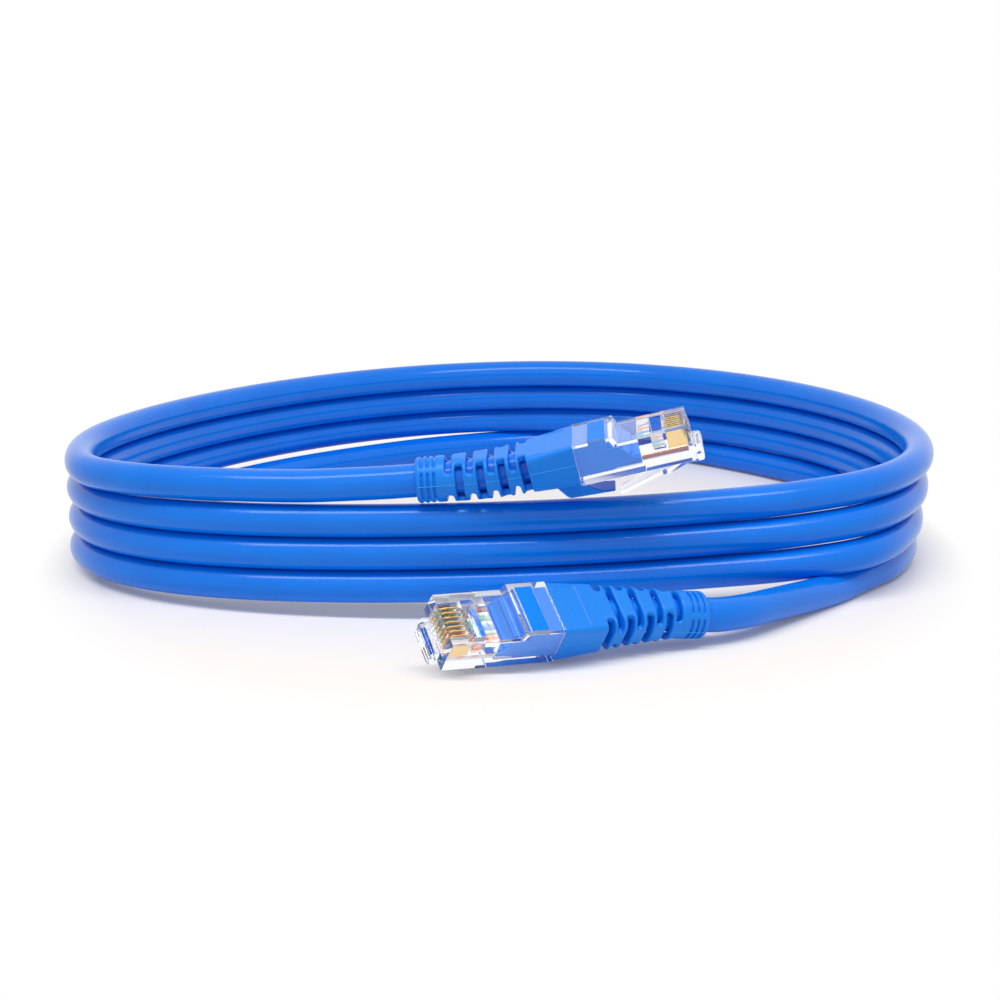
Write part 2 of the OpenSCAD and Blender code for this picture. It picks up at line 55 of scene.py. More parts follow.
# Sizes of the plug and its boot, as in the CAD model.
PLUG_W, PLUG_L, BLOCK_H, HINGE_X = 11.68, 21.5, 8.0, 0.8
CABLE_D, AXIS_Z, BORE_GAP = 6.2, 4.0, 0.05
BODY_L, BODY_W, BODY_H = 9.0, 10.9, 7.2
SLOT_PITCH, SIDE_SLOT, TOP_SLOT, SLOT_WEB, SLOTS = 4.15, 1.45, 1.3, 1.25, 4
COLLAR_D, COLLAR_L = 8.7, 5.65
PANEL_AT, PANEL_L, PANEL_W, PANEL_H = 1.7, 3.8, 9.2, 0.15
GUARD_W, GUARD_H, GUARD_RISE, GUARD_AT = 5.2, 3.8, 0.5, 15.9
GUARD_HEEL, GUARD_SLOPE, GUARD_TOP, LIP_T = 3.2, 2.6, 0.5, 0.35
FLEX = {"a": 5.5, "b": 9.5}
FLEX_DIR = {"a": -90.0, "b": 0.0}
FLEX_AT = PLUG_L + BODY_L
FLEX_L = 3.5 * SLOT_PITCH + TOP_SLOT
BOOT_L = FLEX_AT + FLEX_L + COLLAR_L

# Details that are only in the drawn boot. The slots' notches are cut by a shape that reaches far
# past the boot, and the relief and the guard run into the body, so that all are one form. A hair's
# breadth keeps the body off the housing, and a gap keeps the guard below it.
NOTCH, WINDOW_R, NOTCH_REACH = 2.2, 0.45, 9
GROOVES, GROOVE_W, GROOVE_D, GROOVE_PITCH, GROOVE_END = 3, 0.45, 0.5, 1.15, 1.3
GROOVE_BREAK, GROOVE_FADE = 0.5, 0.3
SCOOP_H, SCOOP_RUN = 3.8, 5.2
FRONT_CORNER, BACK_CORNER, LEAST_FLAT = 0.6, 1.3, 0.01
RELIEF_ROOT, GUARD_ROOT, GUARD_LAP = 0.6, 0.6, 0.2
HAIR, GUARD_GAP = 0.02, 0.03

# How far moulded edges are rounded.
END_EDGE, SLOT_EDGE, BORE_EDGE, FINE_EDGE, CUT_EDGE = 0.9, 0.4, 0.15, 0.25, 0.1
GUARD_EDGE, GUARD_SIDE_EDGE, GUARD_TOP_EDGE, PANEL_R = 0.6, 0.5, 0.3, 0.2

# The mould's parting line: its height, the room it leaves at the front, slots and end, and its
# section as pairs of up and out from the boot's flank.
SEAM_Z, SEAM_FRONT, SEAM_CLEAR, SEAM_END, SEAM_STEP = 0.2, 0.05, 0.15, 0.6, 0.4
SEAM_SECTION = [(-0.09, -0.03), (0, 0.05), (0.09, -0.03), (0, -0.12)]

# The grid on which the boot is meshed, and the edges of the CAD solids that are softened.
CELL, MARGIN = 0.15, 0.5
SOFT = {"housing": 0.06, "latch": 0.12, "insert": 0.08, "contact": 0.04}
WELD, FLAT_ANGLE, HARD_ANGLE, BEVEL_STEPS = 2e-6, 0.5, 20.0, 2

# Middle of the plugs' footprint, which is the row frame's origin.
MID_X, MID_Y = 11.0, -87.4

# The coil, as in the CAD model.
TURN_GAP, COIL_HALF_W, COIL_HALF_L = 0.43, 88.0, 80.5
COIL_SKEW, COIL_EGG, COIL_LEAN, LEAN_TURN = 9.0, 9.5, 2.5, 1.5
COIL_X, COIL_Y, CLIMB = 1.0, 4.0, 1.2
TURN_STEPS, COIL_STEPS = 24, 79

# The lower turns fan out at the front right corner and lie further in behind it, and the lowest
# comes forward at the back left. Places and widths are shares of a turn.
CORNER_AT, CORNER_WIDTH, TURNS_BELOW = 0.68, 0.07, 2
CORNER_OUT, CORNER_FAN, LIFT = 5.9, 2.5, 0.6
TUCK, TUCK_AT, TUCK_WIDTH = 1.0, 0.74, 0.06
SAG, SAG_AT, SAG_WIDTH, SAG_POWER = 9.0, 0.145, 0.12, 4

# The drawn cord is round where it lies and its turns touch. It starts higher than the CAD model's
# flattened one, and after REST_TURN turns the two are level.
CORD_R, CORD_STEP, CORD_SIDES = 3.17, 1.0, 32
CAD_LIE_Z = 0.4 * CABLE_D
LIE_Z = CORD_R - 0.05
REST_TURN = 2.49
PITCH = CABLE_D + TURN_GAP - (LIE_Z - CAD_LIE_Z) / REST_TURN

# The stretch of jacket in the boot, which shows in the slots.
JACKET_R, JACKET_FRONT, JACKET_STEP = 3.02, 1.0, 0.5


# ---------------------------------------------------------------- camera

def make_camera():
    """The camera looks along +Y and a little down, as the photograph was taken."""
    elevation, distance, aim_z, lens = radians(12.2), 480.0, 8.3, 78.9
    data = bpy.data.cameras.new("camera")
    data.lens, data.sensor_width = lens, 36.0
    data.clip_start, data.clip_end = 0.01, 20.0
    camera = bpy.data.objects.new("camera", data)
    aim = Vector((-MID_X, -MID_Y, aim_z)) * MM
    back = Vector((0, -cos(elevation), sin(elevation)))
    camera.location = aim + back * distance * MM
    camera.rotation_euler = (pi / 2 - elevation, 0, 0)
    bpy.context.scene.collection.objects.link(camera)
    bpy.context.scene.camera = camera


# ---------------------------------------------------------------- plug frames

def plug_frame(side):
    """Matrix from a plug's own frame, in millimetres, to the row frame, in metres."""
    joint = next(j for j in frame["joints"] if j["name"] == f"latch_{side}_flex")
    mounts = frame["record"]["mounts"]
    mount = next(m for m in mounts if m["name"] == f"plug_{side}_interface")
    x_axis = Vector(mount["axis"]).normalized()
    y_axis = Vector(joint["axis"])
    y_axis = (y_axis - x_axis * y_axis.dot(x_axis)).normalized()
    z_axis = x_axis.cross(y_axis)
    nose = Vector(joint["pos_m"]) - x_axis * HINGE_X * MM
    matrix = Matrix((x_axis, y_axis, z_axis)).transposed().to_4x4() @ Matrix.Scale(MM, 4)
    matrix.translation = nose
    return matrix


PLUG = {side: plug_frame(side) for side in SIDES}


def on_boot(side, s, across, up):
    """Points of the boot in the plug's frame.

    s is the way from the nose along the flexed axis, and across and up are measured from it.
    """
    s, across, up = np.broadcast_arrays(*(np.asarray(v, float) for v in (s, across, up)))
    flex = radians(FLEX[side])
    a = radians(FLEX_DIR[side])
    radius = FLEX_L / flex
    angle = flex * np.clip((s - FLEX_AT) / FLEX_L, 0, 1)
    past = np.maximum(s - FLEX_AT - FLEX_L, 0)
    x = -np.minimum(s, FLEX_AT) - radius * np.sin(angle) - past * cos(flex)
    off = radius * (1 - np.cos(angle)) + past * sin(flex)
    v = across * cos(a) + up * sin(a)
    w = -across * sin(a) + up * cos(a)
    x = x + w * np.sin(angle)
    z = off + w * np.cos(angle)
    return np.stack([x, v * cos(a) - z * sin(a), AXIS_Z + v * sin(a) + z * cos(a)], -1)


def to_row(side, points):
    """Points of a plug's frame as points of the row frame."""
    m = np.array(PLUG[side])
    return np.asarray(points) @ m[:3, :3].T + m[:3, 3]


# ---------------------------------------------------------------- cord

def swell(u, at, width, power=2):
    """1 where a turn passes a place and 0 away from it."""
    return exp(-abs(((u - at + 0.5) % 1 - 0.5) / width) ** power)


def coil_at(u):
    """A point of the coil after u turns, in millimetres."""
    t = 2 * pi * u
    at_corner = swell(u, CORNER_AT, CORNER_WIDTH)
    turns_above = CORNER_AT + TURNS_BELOW - u
    corner = (CORNER_OUT + CORNER_FAN * turns_above) * at_corner
    tuck = TUCK * turns_above * swell(u, TUCK_AT, TUCK_WIDTH)
    forward = SAG * swell(u, SAG_AT, SAG_WIDTH, SAG_POWER) if u < 0.5 else 0
    lean = COIL_LEAN * (u - LEAN_TURN) * (1 + cos(t)) / 2
    return np.array([
        COIL_X - COIL_HALF_W * sin(t) + COIL_SKEW * cos(t) - tuck - MID_X,
        COIL_Y + COIL_HALF_L * cos(t) + COIL_EGG * cos(2 * t) - lean - corner - forward - MID_Y,
        LIE_Z + PITCH * (u - CLIMB * sin(t) / (2 * pi)) + LIFT * at_corner,
    ])


LEAD_A = [
    (45, -80.2, 4.8), (50.1, -74.4, 4.3), (55, -68.4, 3.7), (60.1, -62, 3.1), (65.4, -55.2, 2.6),
    (71.2, -48, LIE_Z), (78, -38.5, LIE_Z), (83, -26.5, LIE_Z), (85.6, -13, LIE_Z),
    (86.4, 3, LIE_Z), (85.3, 18.5, LIE_Z), (82.3, 34, LIE_Z), (77.5, 49.5, LIE_Z),
    (68.5, 63.5, LIE_Z), (58, 76, LIE_Z), (47, 86.3, LIE_Z),
]
LEAD_B = [
    (-81.6, -41.8, 23.3), (-71.8, -52.2, 23.9), (-61, -57.6, 24.2), (-49, -61.8, 24.6),
    (-37, -64.6, 25), (-28, -65.9, 25.6),
]


def boot_mouth(side, back=0.0):
    """The middle of the boot's end, or a point further along the cord."""
    end, before = (to_row(side, on_boot(side, BOOT_L - d, 0, 0)) for d in (0.0, 1.0))
    return (end + (end - before) * back) / MM


def cord_route():
    """The cord's middle line from the table plug round the coil to the upper plug."""
    shift = np.array([-MID_X, -MID_Y, 0])
    return np.array(
        [boot_mouth("a", -1), boot_mouth("a"), boot_mouth("a", CABLE_D / 2)]
        + [np.array(p) + shift for p in LEAD_A]
        + [coil_at(i / TURN_STEPS) for i in range(-1, COIL_STEPS + 1)]
        + [np.array(p) + shift for p in LEAD_B]
        + [boot_mouth("b", CABLE_D), boot_mouth("b"), boot_mouth("b", -1)]
    )


def smooth_line(points, step):
    """A centripetal Catmull-Rom curve through the points, resampled about a step apart."""
    line = []
    ends = [2 * points[0] - points[1], *points, 2 * points[-1] - points[-2]]
    for p0, p1, p2, p3 in zip(ends, ends[1:], ends[2:], ends[3:]):
        t0, t1 = 0.0, np.linalg.norm(p1 - p0) ** 0.5
        t2 = t1 + np.linalg.norm(p2 - p1) ** 0.5
        t3 = t2 + np.linalg.norm(p3 - p2) ** 0.5
        count = max(2, round(np.linalg.norm(p2 - p1) / step))
        t = np.linspace(t1, t2, count, endpoint=False)[:, None]
        a1 = ((t1 - t) * p0 + (t - t0) * p1) / (t1 - t0)
        a2 = ((t2 - t) * p1 + (t - t1) * p2) / (t2 - t1)
        a3 = ((t3 - t) * p2 + (t - t2) * p3) / (t3 - t2)
        b1 = ((t2 - t) * a1 + (t - t0) * a2) / (t2 - t0)
        b2 = ((t3 - t) * a2 + (t - t1) * a3) / (t3 - t1)
        line.append(((t2 - t) * b1 + (t - t1) * b2) / (t2 - t1))
    return np.concatenate([*line, points[-1:]])


def loft(rings):
    """Points and faces of a closed form through rings of as many points each."""
    rings = np.asarray(rings)
    count, sides = rings.shape[:2]
    points = rings.reshape(-1, 3)
    k, j = np.meshgrid(np.arange(count - 1), np.arange(sides), indexing="ij")
    a, b = k * sides + j, k * sides + (j + 1) % sides
    faces = np.stack([a, a + sides, b + sides, b], -1).reshape(-1, 4).tolist()
    last = len(points) - sides
    return points, [*faces, list(range(sides)), list(range(len(points) - 1, last - 1, -1))]


def tube_mesh(line, radius):
    """A round tube along a line."""
    ahead = np.gradient(line, axis=0)
    ahead /= np.linalg.norm(ahead, axis=1)[:, None]
    side = np.cross(ahead, [0, 0, 1])
    side /= np.linalg.norm(side, axis=1)[:, None]
    up = np.cross(side, ahead)
    turn = np.linspace(0, 2 * pi, CORD_SIDES, endpoint=False)
    ring = np.cos(turn)[None, :, None] * side[:, None] + np.sin(turn)[None, :, None] * up[:, None]
    return loft(line[:, None] + radius * ring)


# ---------------------------------------------------------------- pieces

def new_piece(name, points, faces, material, body, nodes, smooth_angle=40.0):
    """A mesh piece in the row frame that rides on a body and stands for CAD nodes."""
    mesh = bpy.data.meshes.new(name)
    mesh.from_pydata(np.asarray(points).tolist(), [], faces)
    return place(mesh, name, material, body, nodes, smooth_angle)


def place(mesh, name, material, body, nodes, smooth_angle=40.0):
    """Put a mesh in the scene, smooth but for its sharp edges."""
    mesh.validate()
    mesh.materials.clear()
    mesh.materials.append(material)
    mesh.polygons.foreach_set("use_smooth", [True] * len(mesh.polygons))
    mesh.set_sharp_from_angle(angle=radians(smooth_angle))
    piece = bpy.data.objects.new(name, mesh)
    bpy.context.scene.collection.objects.link(piece)
    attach(piece, body)
    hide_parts(*nodes)
    return piece


def softened(node, name, material, body):
    """A rigid node's own shape with its hard edges rounded."""
    bm = bmesh.new()
    bm.from_mesh(frame["nodes"][node].data)
    bmesh.ops.remove_doubles(bm, verts=bm.verts, dist=WELD)
    bmesh.ops.dissolve_limit(bm, angle_limit=radians(FLAT_ANGLE), verts=bm.verts, edges=bm.edges)
    joined = [e for e in bm.edges if len(e.link_faces) == 2]
    bmesh.ops.bevel(
        bm, geom=[e for e in joined if e.calc_face_angle() > radians(HARD_ANGLE)],
        offset=SOFT[node.split("_")[0]] * MM, segments=BEVEL_STEPS, profile=0.5, affect="EDGES",
        clamp_overlap=True,
    )
    mesh = bpy.data.meshes.new(name)
    bm.to_mesh(mesh)
    bm.free()
    piece = place(mesh, name, material, body, [node])
    weighted = piece.modifiers.new("weighted", "WEIGHTED_NORMAL")
    weighted.keep_sharp = True


# ---------------------------------------------------------------- moulded forms

def smooth_max(a, b, k):
    """The larger of two distances, rounded over k where they meet."""
    h = np.maximum(k - np.abs(a - b), 0) / k
    return np.maximum(a, b) + h * h * k / 4


def smooth_min(a, b, k):
    """The smaller of two distances, rounded over k where they meet."""
    return -smooth_max(-a, -b, k)


def rounded_rect(u, v, half_u, half_v, r):
    """Signed distance to a rectangle with round corners."""
    qu, qv = np.abs(u) - (half_u - r), np.abs(v) - (half_v - r)
    return np.hypot(np.maximum(qu, 0), np.maximum(qv, 0)) + np.minimum(np.maximum(qu, qv), 0) - r


def surface_of(field, low):
    """Points and quads of the zero surface of a sampled field that is negative inside.

    Each cell that the surface passes gets one point, at the mean of the crossings on its edges,
    and each crossed edge gets a quad between the four cells round it.
    """
    cells = tuple(n - 1 for n in field.shape)
    total = np.zeros(cells + (3,), np.float32)
    count = np.zeros(cells, np.int8)
    inside = field < 0
    crossings = []
    for axis in range(3):
        first, second = [slice(None)] * 3, [slice(None)] * 3
        first[axis], second[axis] = slice(None, -1), slice(1, None)
        f0, f1 = field[tuple(first)], field[tuple(second)]
        cross = inside[tuple(first)] != inside[tuple(second)]
        at = np.argwhere(cross)
        share = f0[cross] / (f0[cross] - f1[cross])
        crossings.append((at, inside[tuple(first)][cross]))
        others = [a for a in range(3) if a != axis]
        for du, dv in product((0, 1), repeat=2):
            cell_at = at.copy()
            cell_at[:, others[0]] -= du
            cell_at[:, others[1]] -= dv
            ok = np.all((cell_at >= 0) & (cell_at < np.array(cells)), axis=1)
            where = at[ok].astype(np.float32)
            where[:, axis] += share[ok]
            np.add.at(total, tuple(cell_at[ok].T), where)
            np.add.at(count, tuple(cell_at[ok].T), 1)
    used = np.argwhere(count > 0)
    number = np.full(cells, -1, np.int64)
    number[tuple(used.T)] = np.arange(len(used))
    points = total[tuple(used.T)] / count[tuple(used.T)][:, None]
    quads = []
    for axis, (at, starts_inside) in enumerate(crossings):
        u, v = [(1, 2), (2, 0), (0, 1)][axis]
        ok = (at[:, u] > 0) & (at[:, v] > 0) & (at[:, u] < cells[u]) & (at[:, v] < cells[v])
        at, starts_inside = at[ok], starts_inside[ok]
        corner = []
        for du, dv in ((1, 1), (0, 1), (0, 0), (1, 0)):
            c = at.copy()
            c[:, u] -= du
            c[:, v] -= dv
            corner.append(number[tuple(c.T)])
        quad = np.stack(corner, -1)
        quad[~starts_inside] = quad[~starts_inside][:, ::-1]
        quads.append(quad)
    return np.array(low) + points * CELL, np.concatenate(quads)


def boot_section(s):
    """Half width, half height and corner radius of the boot's outer form, s behind the nose."""
    run = np.clip((s - FLEX_AT) / FLEX_L, 0, 1)
    front = np.clip((s - PLUG_L) / BODY_L, 0, 1)
    half_w = (PLUG_W + (BODY_W - PLUG_W) * front + (COLLAR_D - BODY_W) * run) / 2
    half_h = (BLOCK_H + (BODY_H - BLOCK_H) * front + (COLLAR_D - BODY_H) * run) / 2
    corner = FRONT_CORNER + (BACK_CORNER - FRONT_CORNER) * front
    corner = corner + (COLLAR_D / 2 - BACK_CORNER) * run
    return half_w, half_h, np.minimum(corner, half_h - LEAST_FLAT)


def slotted_body(s, y, z):
    """The boot's body and its strain relief, cut in turn from the sides and from top and bottom."""
    half_w, half_h, corner = boot_section(s)
    outer = rounded_rect(y, z, half_w, half_h, corner)
    relief = outer
    for k in range(SLOTS):
        s0 = FLEX_AT + k * SLOT_PITCH
        for start, width, out, out_half, up, up_half in (
            (s0, SIDE_SLOT, y, half_w, z, half_h),
            (s0 + SLOT_PITCH / 2, TOP_SLOT, z, half_h, y, half_w),
        ):
            middle, half = s - start - width / 2, width / 2
            window = rounded_rect(middle, up, half, up_half - SLOT_WEB, WINDOW_R)
            depth = np.abs(out) - out_half + NOTCH - NOTCH_REACH
            notch = rounded_rect(middle, depth, half, NOTCH_REACH, half - 0.05)
            relief = smooth_max(relief, -np.minimum(window, notch), SLOT_EDGE)
    body = smooth_max(s - FLEX_AT + HAIR, outer, END_EDGE)
    relief = smooth_max(relief, FLEX_AT - RELIEF_ROOT - s, CUT_EDGE)
    return smooth_max(np.minimum(body, relief), s - BOOT_L, END_EDGE)


def collar_grooves(s, y, z):
    """The rings cut in the collar, broken at its four diagonals."""
    radial = np.hypot(y, z)
    diagonal = np.abs(np.abs(y) - np.abs(z)) / np.sqrt(2)
    rings = []
    for k in range(GROOVES):
        along = np.abs(s - (BOOT_L - GROOVE_END - k * GROOVE_PITCH))
        ring = np.maximum(along - GROOVE_W / 2, COLLAR_D / 2 - GROOVE_D - radial)
        rings.append(smooth_max(ring, GROOVE_BREAK - diagonal, GROOVE_FADE))
    return rings


def snag_guard(s, y, z):
    """The hook under the plug that keeps the latch from catching."""
    over = AXIS_Z + z
    heel, heel_z = PLUG_L + GUARD_HEEL, GUARD_RISE - GUARD_H
    bottom = GUARD_RISE * (s - GUARD_AT - LIP_T) / (heel - GUARD_AT - LIP_T) - GUARD_H
    guard = smooth_max(np.abs(y) - GUARD_W / 2, bottom - over, GUARD_SIDE_EDGE)
    rise = GUARD_TOP - heel_z
    slope = ((s - heel) * rise - (over - heel_z) * GUARD_SLOPE) / np.hypot(GUARD_SLOPE, rise)
    guard = smooth_max(guard, slope, GUARD_EDGE)
    guard = smooth_max(guard, over - GUARD_ROOT, GUARD_TOP_EDGE)
    scoop_z = SCOOP_H - GUARD_H + LIP_T
    scoop = SCOOP_H - np.hypot((s - GUARD_AT) * SCOOP_H / SCOOP_RUN, over - scoop_z)
    guard = smooth_max(guard, scoop, FINE_EDGE)
    guard = smooth_max(guard, GUARD_AT - s, FINE_EDGE)
    return np.where(s < PLUG_L, np.maximum(guard, over + GUARD_GAP), guard)


def boot_field(s, y, z):
    """Signed distance of the straight boot.

    s is the way behind the nose, y is across, and z is up from the cord's axis.
    """
    body = slotted_body(s, y, z)
    for ring in collar_grooves(s, y, z):
        body = smooth_max(body, -ring, FINE_EDGE)
    lid_z = BLOCK_H / 2 + (BODY_H - BLOCK_H) / 2 * (s - PLUG_L) / BODY_L - PANEL_H
    panel_s = s - PLUG_L - PANEL_AT - PANEL_L / 2
    panel = rounded_rect(panel_s, y, PANEL_L / 2, PANEL_W / 2, PANEL_R)
    body = np.maximum(body, -np.maximum(panel, lid_z - z))
    body = np.maximum(body, PLUG_L + HAIR - s)
    guard = snag_guard(s, y, z)
    body = np.where(s > PLUG_L - GUARD_LAP, smooth_min(body, guard, GUARD_EDGE), guard)
    bore = np.hypot(y, z) - CABLE_D / 2 - BORE_GAP
    return smooth_max(body, -bore, BORE_EDGE)


def make_boot(side):
    """The moulded boot: meshed straight, then bent along the flexed axis."""
    low = np.array([GUARD_AT - 2 * MARGIN, -PLUG_W / 2 - MARGIN, -AXIS_Z - GUARD_H - MARGIN])
    high = np.array([BOOT_L + MARGIN, PLUG_W / 2 + MARGIN, COLLAR_D / 2 + MARGIN])
    axes = [np.arange(a, b, CELL) for a, b in zip(low, high)]
    s, y, z = np.meshgrid(*axes, indexing="ij")
    points, quads = surface_of(boot_field(s, y, z).astype(np.float32), low)
    placed = to_row(side, on_boot(side, points[:, 0], points[:, 1], points[:, 2]))
    new_piece(
        f"boot_{side}_moulded", placed, quads[:, ::-1].tolist(), BOOT, "root", [f"boot_{side}"],
        60,
    )


def make_seam(side):
    """The mould's parting line along both flanks of the boot, broken at the side slots; its lighter blue is a
    painted highlight.
    """
    slots = [FLEX_AT + k * SLOT_PITCH for k in range(SLOTS)]
    starts = [PLUG_L + SEAM_FRONT] + [slot + SIDE_SLOT + SEAM_CLEAR for slot in slots]
    ends = [slot - SEAM_CLEAR for slot in slots] + [BOOT_L - SEAM_END]
    section = np.array(SEAM_SECTION)
    points, faces, first = [], [], 0
    for start, end in zip(starts, ends):
        along = np.linspace(start, end, max(4, round((end - start) / SEAM_STEP)))
        half_w, half_h, corner = boot_section(along)
        lean = np.maximum(SEAM_Z - (half_h - corner), 0)
        flank = half_w - corner + np.sqrt(corner**2 - lean**2)
        for hand in (1, -1):
            across = hand * (flank[:, None] + section[None, :, 1])
            up = SEAM_Z + hand * np.broadcast_to(section[None, :, 0], across.shape)
            more, quads = loft(to_row(side, on_boot(side, along[:, None], across, up)))
            faces += [[i + first for i in face] for face in quads]
            points.append(more)
            first += len(more)
    new_piece(
        f"boot_{side}_seam", np.concatenate(points), faces, SEAM_HIGHLIGHT, "root", [], 60
    )


# ---------------------------------------------------------------- materials

def shader(name, colour, rough, **settings):
    """A principled material and its node tree."""
    material = bpy.data.materials.new(name)
    material.use_nodes = True
    bsdf = material.node_tree.nodes["Principled BSDF"]
    bsdf.inputs["Base Color"].default_value = (*colour, 1)
    bsdf.inputs["Roughness"].default_value = rough
    for key, value in settings.items():
        bsdf.inputs[key.replace("_", " ")].default_value = value
    return material, material.node_tree, bsdf


def object_place(tree):
    """The place on the object, for a texture or a distance."""
    return tree.nodes.new("ShaderNodeTexCoord").outputs["Object"]


def noise(tree, scale):
    """Noise over the object, about as many grains to the metre as the scale says."""
    texture = tree.nodes.new("ShaderNodeTexNoise")
    texture.inputs["Scale"].default_value = scale
    texture.inputs["Detail"].default_value = 3.0
    tree.links.new(object_place(tree), texture.inputs["Vector"])
    return texture.outputs["Fac"]


def vary_colour(tree, bsdf, factor, low, high):
    """Colour runs between two near tones with a texture."""
    ramp = tree.nodes.new("ShaderNodeValToRGB")
    for end, position, colour in zip(ramp.color_ramp.elements, (0.3, 0.7), (low, high)):
        end.position = position
        end.color = (*colour, 1)
    tree.links.new(factor, ramp.inputs["Fac"])
    tree.links.new(ramp.outputs["Color"], bsdf.inputs["Base Color"])


def vary_value(tree, factor, socket, low, high):
    """A value runs between two limits with a texture."""
    span = tree.nodes.new("ShaderNodeMapRange")
    span.inputs["To Min"].default_value = low
    span.inputs["To Max"].default_value = high
    tree.links.new(factor, span.inputs["Value"])
    tree.links.new(span.outputs["Result"], socket)


def bump(tree, bsdf, factor, strength, distance):
    """A fine grain in the surface."""
    node = tree.nodes.new("ShaderNodeBump")
    node.inputs["Strength"].default_value = strength
    node.inputs["Distance"].default_value = distance
    tree.links.new(factor, node.inputs["Height"])
    tree.links.new(node.outputs["Normal"], bsdf.inputs["Normal"])


def math_node(tree, operation, *values):
    """The result of a sum, in which each value is a number or a socket."""
    node = tree.nodes.new("ShaderNodeMath")
    node.operation = operation
    for socket, value in zip(node.inputs, values):
        if isinstance(value, float):
            socket.default_value = value
        else:
            tree.links.new(value, socket)
    return node.outputs["Value"]


def any_ray(tree, first, *others):
    """1 for a ray of any of these kinds."""
    path = tree.nodes.new("ShaderNodeLightPath")
    either = path.outputs[first]
    for name in others:
        either = math_node(tree, "MAXIMUM", either, path.outputs[name])
    return either


def seen_directly(tree):
    """1 for rays from the camera, a mirror or clear plastic, 0 for those that carry light."""
    return any_ray(tree, "Is Camera Ray", "Is Glossy Ray", "Is Transmission Ray")


def mix_shaders(tree, share, first, second, output):
    """The surface is the first shader where the share is 0 and the second where it is 1."""
    mix = tree.nodes.new("ShaderNodeMixShader")
    tree.links.new(share, mix.inputs["Fac"])
    tree.links.new(first, mix.inputs[1])
    tree.links.new(second, mix.inputs[2])
    tree.links.new(mix.outputs["Shader"], output.inputs["Surface"])


def plastic(name, low, high, rough, rough_span, grain, depth, shine=0.28):
    """Moulded or drawn plastic: two near tones, uneven gloss and a fine grain."""
    material, tree, bsdf = shader(name, low, rough, Specular_IOR_Level=shine)
    gloss = bsdf.inputs["Roughness"]
    vary_colour(tree, bsdf, noise(tree, 90), low, high)
    vary_value(tree, noise(tree, 260), gloss, rough - rough_span, rough + rough_span)
    bump(tree, bsdf, noise(tree, grain), strength=0.3, distance=depth)
    return material


CLEAR_TINT = (0.98, 0.99, 1.0)
MOST_TURNS = 3.5


def clear_plastic(name):
    """Clear moulded plastic.

    It lets the lamps' light straight through, and also a ray that was turned too often in it.
    """
    material, tree, bsdf = shader(
        name, CLEAR_TINT, 0.03, Transmission_Weight=1.0, IOR=1.5, Specular_IOR_Level=0.2
    )
    vary_value(tree, noise(tree, 300), bsdf.inputs["Roughness"], 0.01, 0.05)
    bump(tree, bsdf, noise(tree, 500), strength=0.1, distance=0.00001)
    lit = tree.nodes.new("ShaderNodeBsdfTransparent")
    lit.inputs["Color"].default_value = (*CLEAR_TINT, 1)
    path = tree.nodes.new("ShaderNodeLightPath")
    turned = math_node(tree, "GREATER_THAN", path.outputs["Ray Depth"], MOST_TURNS)
    through = math_node(tree, "MAXIMUM", turned, any_ray(tree, "Is Shadow Ray", "Is Diffuse Ray"))
    output = tree.nodes["Material Output"]
    mix_shaders(tree, through, bsdf.outputs["BSDF"], lit.outputs["BSDF"], output)
    return material


def metal(name, low, high):
    """Plated metal: two near tones and uneven gloss."""
    material, tree, bsdf = shader(name, low, 0.35, Metallic=0.8)
    vary_colour(tree, bsdf, noise(tree, 900), low, high)
    vary_value(tree, noise(tree, 1500), bsdf.inputs["Roughness"], 0.3, 0.42)
    return material


WIRE_SLOTS = [
    "wire_white_orange", "wire_orange", "wire_white_green", "wire_blue",
    "wire_white_blue", "wire_green", "wire_white_brown", "wire_brown",
]
WIRE_COLOURS = {
    "wire_orange": (0.85, 0.25, 0.1), "wire_green": (0.05, 0.38, 0.22),
    "wire_blue": (0.03, 0.22, 0.62), "wire_brown": (0.34, 0.12, 0.1),
}
WIRE_WHITE = (0.8, 0.82, 0.86)
WIRE_BANDS = 130


def wire_material(slot):
    """Insulation: one colour, or white with bands of its pair's colour."""
    colour = WIRE_COLOURS.get(slot)
    if colour:
        material, tree, bsdf = shader(slot, colour, 0.4)
        lighter = tuple(min(1.0, c * 1.15) for c in colour)
        vary_colour(tree, bsdf, noise(tree, 700), colour, lighter)
        return material
    material, tree, bsdf = shader(slot, WIRE_WHITE, 0.4)
    bands = tree.nodes.new("ShaderNodeTexWave")
    bands.inputs["Scale"].default_value = WIRE_BANDS
    bands.inputs["Distortion"].default_value = 1.5
    tree.links.new(object_place(tree), bands.inputs["Vector"])
    pair = WIRE_COLOURS[slot.replace("white_", "")]
    paler = tuple((3 * c + 1) / 4 for c in pair)
    vary_colour(tree, bsdf, bands.outputs["Fac"], WIRE_WHITE, paler)
    return material


# ---------------------------------------------------------------- stage and light

FLOOR_HALF, FLOOR_WHITE = 6.0, (0.95, 0.905, 0.855)

# The share of plain white in the floor, by the distance from a middle near the coil's, in an oval.
OVAL_MIDDLE = (COIL_X - MID_X, 0.9 * (COIL_Y - MID_Y), 0)
OVAL = (1.3, 1.0, 1.0)
FADE = {"From Min": 0.112, "From Max": 0.128, "To Min": 0.1, "To Max": 1.0}

# The world's light, and the lamps: name, place, tilt in degrees, size and watts.
WORLD_FILL = 0.42
LAMPS = [
    ("top_light", (0.0, -0.15, 0.55), 18, (0.8, 0.13), 2.75),
    ("front_light", (0.05, -0.6, 0.45), 52, (0.8, 0.4), 0.35),
]


